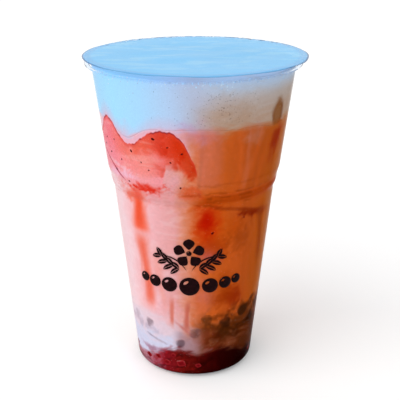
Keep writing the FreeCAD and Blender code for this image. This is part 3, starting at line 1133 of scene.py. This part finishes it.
# %% Piece: the film
def film_sheet(columns=360):
    """Rings of the upper face from the middle out, then of the lower face back in, and each point's tint:
    painted sky reflection, with painted highlights and shade on the crinkles and painted shade along the cut
    edge. The sag and the droop are smooth steps, and the crinkles small waves round the far edge."""
    middle = (film_low[0] + film_high[0]) / 2
    edge = film_high[0] - middle
    turn = np.arange(columns) * 2 * np.pi / columns
    cut = edge - 0.3 + 0.14 * np.sin(3 * turn + 1) + 0.1 * np.sin(7 * turn) + 0.06 * np.sin(16 * turn + 2)
    share = np.concatenate([np.linspace(0, 0.88, 44), np.linspace(0.88, 1, 16)[1:]])[:, None]
    radius = share * cut
    x, y = middle + radius * np.sin(turn), -radius * np.cos(turn)
    waves_across = 0.12 * np.sin(0.16 * x + 0.1 * y) + 0.1 * np.sin(0.3 * y - 0.12 * x)
    sag = smooth(np.hypot(x, y), NECK_RADIUS, 20) * (0.45 + waves_across)
    droop = 0.32 * smooth(radius, rim_radius + 0.2, edge) * (1 + 0.35 * np.sin(11 * turn))
    upper = np.stack([x, y, film_high[2] - 0.01 - sag - droop], -1)
    far = smooth(-np.cos(turn), 0.2, 0.9) * smooth(share, 0.9, 0.96)
    crinkle = far * waves(upper, 3.5, 301, 2)
    upper[..., 2] -= 0.22 * np.abs(crinkle)
    # The film's blue is painted sky reflection: paler in long streaks, and darker in a ring out over the rim.
    reflection_streaks = marbling(upper, 26.0, 311, stretch=(1, 0.35, 1))
    tint = cover(srgb("#76CCFF") + 0 * upper, srgb("#9CDEFF"), 0.5 * smooth(reflection_streaks, 0.0, 0.9))
    tint = cover(tint, srgb("#78B6EC"), 0.5 * smooth(share, 0.9, 0.95) + 0 * turn)
    # Painted highlights on the crests of the crinkles, painted shade in their hollows.
    tint = cover(tint, srgb("#E8F6FF"), 0.9 * smooth(crinkle, 0.2, 0.7))
    tint = cover(tint, srgb("#4E6E96"), 0.8 * smooth(crinkle, -0.1, -0.6))
    # Painted shade along the cut edge, stronger round the sides and back than at the front.
    cut_edge_shade = smooth(share + 0.012 * smooth(-np.cos(turn), 0.2, 0.9), 0.984, 0.993)
    tint = cover(tint, srgb("#4A6C9A"), (0.25 + 0.6 * smooth(np.cos(turn), 0.8, 0.3)) * cut_edge_shade)
    grid = np.concatenate([upper, (upper - np.array([0, 0, 0.08]))[::-1]])
    return grid, to_linear(np.concatenate([tint, tint[::-1]]))


film_skin = Heap()
film_skin.put(*film_sheet(), flip=True)
film = film_skin.make("sealing_film_sheet", film_plastic)
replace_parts(film, "sealing_film")

# %% [markdown]
# ## Stage, light and camera
# A pale floor, even light from all round, and one soft lamp from the left and above. The background is
# white to the eye, to reflections and through the plastic, and the floor keeps the soft shadow under the
# cup.


# %% Stage
def directly_seen(tree):
    """1 for what the camera sees, also mirrored or through the plastic, 0 for light that falls on things."""
    path = add(tree, "LightPath").outputs
    seen = path["Is Camera Ray"]
    for ray in ("Is Glossy Ray", "Is Transmission Ray"):
        seen = add(tree, "Math", {"_0": seen, "_1": path[ray]}, operation="MAXIMUM").outputs[0]
    return seen


def white_floor():
    material, tree = new_material("studio_floor")
    matt = add(tree, "BsdfDiffuse", Color=rgba("#F4F4F4"))
    lift = add(tree, "Math", {"_0": directly_seen(tree)}, _1=0.22, operation="MULTIPLY")
    light = add(tree, "Emission", {"Strength": lift.outputs[0]}, Color=(1, 1, 1, 1))
    both = add(tree, "AddShader", {"_0": matt.outputs[0], "_1": light.outputs[0]})
    add(tree, "OutputMaterial", {"Surface": both.outputs[0]})
    return material


floor_mesh = bpy.data.meshes.new("floor")
corners = [(-4.0, -4.0, 0), (4.0, -4.0, 0), (4.0, 4.0, 0), (-4.0, 4.0, 0)]
floor_mesh.from_pydata(corners, [], [(0, 1, 2, 3)])
floor_mesh.materials.append(white_floor())
floor = bpy.data.objects.new("floor", floor_mesh)
bpy.context.collection.objects.link(floor)


# %% World and lamp
def studio_world():
    world = bpy.data.worlds.new("studio")
    world.use_nodes = True
    tree = world.node_tree
    tree.nodes.clear()
    strength = add(tree, "MapRange", {"Value": directly_seen(tree)}, To_Min=0.62, To_Max=1.0)
    sky = add(tree, "Background", {"Strength": strength.outputs[0]}, Color=(1, 1, 1, 1))
    add(tree, "OutputWorld", {"Surface": sky.outputs[0]})
    bpy.context.scene.world = world


studio_world()
lamp_data = bpy.data.lights.new("key", "SUN")
lamp_data.energy = 1.5
lamp_data.angle = math.radians(60)
lamp = bpy.data.objects.new("key", lamp_data)
lamp.rotation_euler = (math.radians(48), 0, math.radians(-48))
lamp.visible_glossy = False
bpy.context.collection.objects.link(lamp)

# %% Camera
camera_data = bpy.data.cameras.new("camera")
camera_data.lens = 79.04
camera_data.sensor_width = 36.0
camera = bpy.data.objects.new("camera", camera_data)
camera.location = (2.7 * MM, -380.2 * MM, 213.3 * MM)
camera.rotation_euler = (math.radians(90 - 19.64), 0, 0)
bpy.context.collection.objects.link(camera)
bpy.context.scene.camera = camera
bpy.context.scene.view_settings.view_transform = "Standard"
